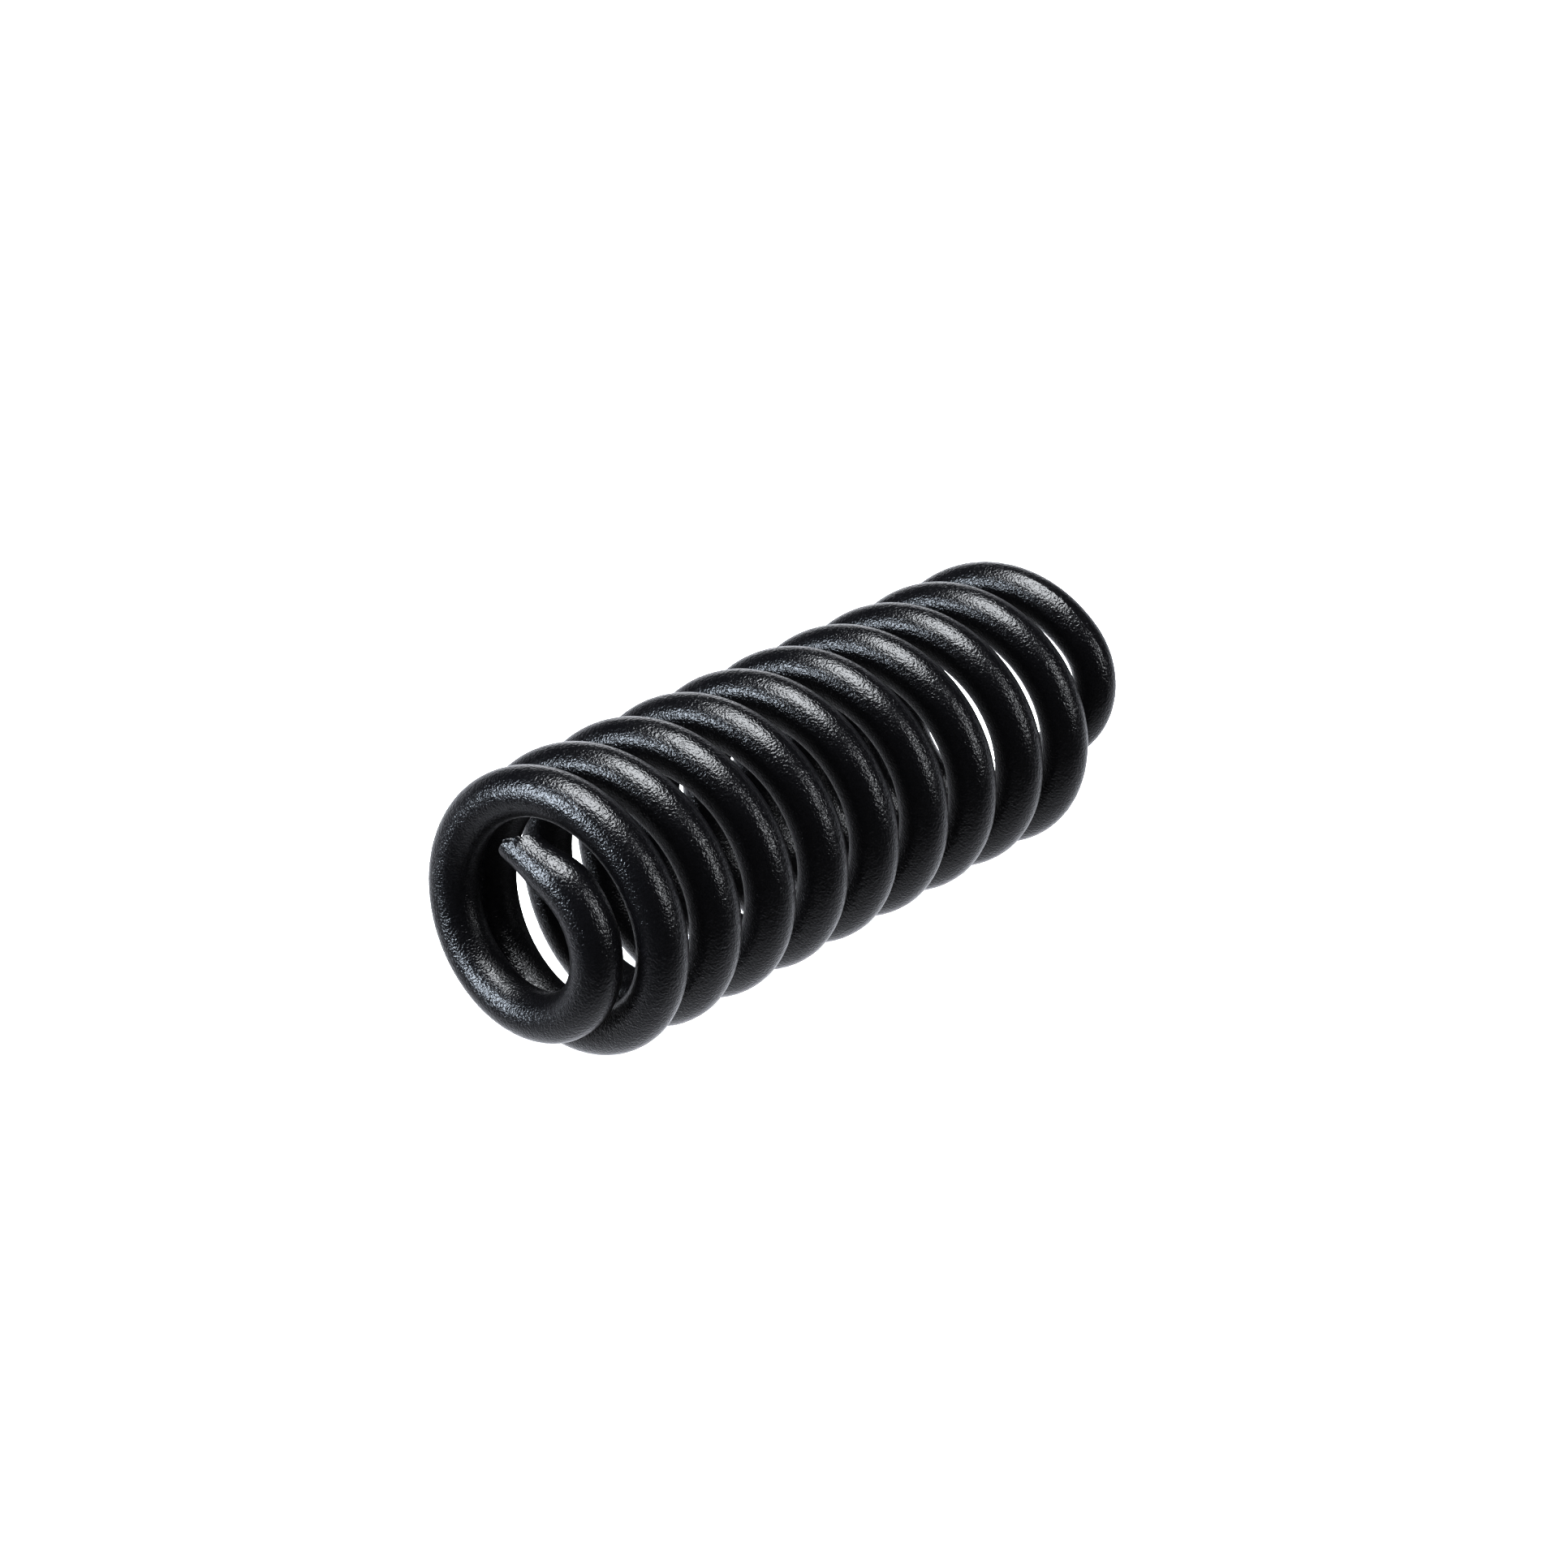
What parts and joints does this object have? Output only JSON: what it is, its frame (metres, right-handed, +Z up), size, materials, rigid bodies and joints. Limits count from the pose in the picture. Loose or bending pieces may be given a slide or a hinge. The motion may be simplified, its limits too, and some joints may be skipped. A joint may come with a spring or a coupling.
{
  "type": "coil spring",
  "caption": "Right-hand wound compression coil spring for a suspension shock, round wire under black powder coat, both ends drawn in.",
  "frame": {"origin": "on the floor under the middle of the spring, which lies on its side: middle of its length and width, at the lowest facets of the full coils", "axes": "+X along the spring's axis from the near end to the far end, +Z up from the floor; the axis lies 30.2 mm above the floor"},
  "size_m": [0.165, 0.0604, 0.0604],
  "materials": {
    "powder_coat": "near-black powder coat with a leathery orange-peel grain, semi-gloss"
  },
  "bodies": {
    "near_end": {"near_end_coil": "powder_coat"},
    "turn_02": {"coil_02": "powder_coat"},
    "turn_03": {"coil_03": "powder_coat"},
    "turn_04": {"coil_04": "powder_coat"},
    "turn_05": {"coil_05": "powder_coat"},
    "turn_06": {"coil_06": "powder_coat"},
    "turn_07": {"coil_07": "powder_coat"},
    "turn_08": {"coil_08": "powder_coat"},
    "turn_09": {"coil_09": "powder_coat"},
    "turn_10": {"coil_10": "powder_coat"},
    "far_end": {"far_end_coil": "powder_coat"}
  },
  "joints": [
    {"name": "squeeze_turn_02", "type": "slide", "parent": "near_end", "child": "turn_02", "axis": [-1, 0, 0], "range_m": [0, 0.0019], "stiffness_N_per_m": 2431600},
    {"name": "squeeze_turn_03", "type": "slide", "parent": "turn_02", "child": "turn_03", "axis": [-1, 0, 0], "range_m": [0, 0.0037], "stiffness_N_per_m": 1248600},
    {"name": "squeeze_turn_04", "type": "slide", "parent": "turn_03", "child": "turn_04", "axis": [-1, 0, 0], "range_m": [0, 0.006], "stiffness_N_per_m": 770000},
    {"name": "squeeze_turn_05", "type": "slide", "parent": "turn_04", "child": "turn_05", "axis": [-1, 0, 0], "range_m": [0, 0.006], "stiffness_N_per_m": 770000},
    {"name": "squeeze", "type": "slide", "parent": "turn_05", "child": "turn_06", "axis": [-1, 0, 0], "range_m": [0, 0.006], "stiffness_N_per_m": 770000},
    {"name": "squeeze_turn_07", "type": "slide", "parent": "turn_06", "child": "turn_07", "axis": [-1, 0, 0], "range_m": [0, 0.006], "stiffness_N_per_m": 770000},
    {"name": "squeeze_turn_08", "type": "slide", "parent": "turn_07", "child": "turn_08", "axis": [-1, 0, 0], "range_m": [0, 0.006], "stiffness_N_per_m": 770000},
    {"name": "squeeze_turn_09", "type": "slide", "parent": "turn_08", "child": "turn_09", "axis": [-1, 0, 0], "range_m": [0, 0.006], "stiffness_N_per_m": 770000},
    {"name": "squeeze_turn_10", "type": "slide", "parent": "turn_09", "child": "turn_10", "axis": [-1, 0, 0], "range_m": [0, 0.006], "stiffness_N_per_m": 770000},
    {"name": "squeeze_far_end", "type": "slide", "parent": "turn_10", "child": "far_end", "axis": [-1, 0, 0], "range_m": [0, 0.0058], "stiffness_N_per_m": 796550}
  ],
  "couplings": [
    {"joint": "squeeze_turn_02", "follows": "squeeze", "ratio": 0.31667},
    {"joint": "squeeze_turn_03", "follows": "squeeze", "ratio": 0.61667},
    {"joint": "squeeze_turn_04", "follows": "squeeze", "ratio": 1},
    {"joint": "squeeze_turn_05", "follows": "squeeze", "ratio": 1},
    {"joint": "squeeze_turn_07", "follows": "squeeze", "ratio": 1},
    {"joint": "squeeze_turn_08", "follows": "squeeze", "ratio": 1},
    {"joint": "squeeze_turn_09", "follows": "squeeze", "ratio": 1},
    {"joint": "squeeze_turn_10", "follows": "squeeze", "ratio": 1},
    {"joint": "squeeze_far_end", "follows": "squeeze", "ratio": 0.96667}
  ]
}
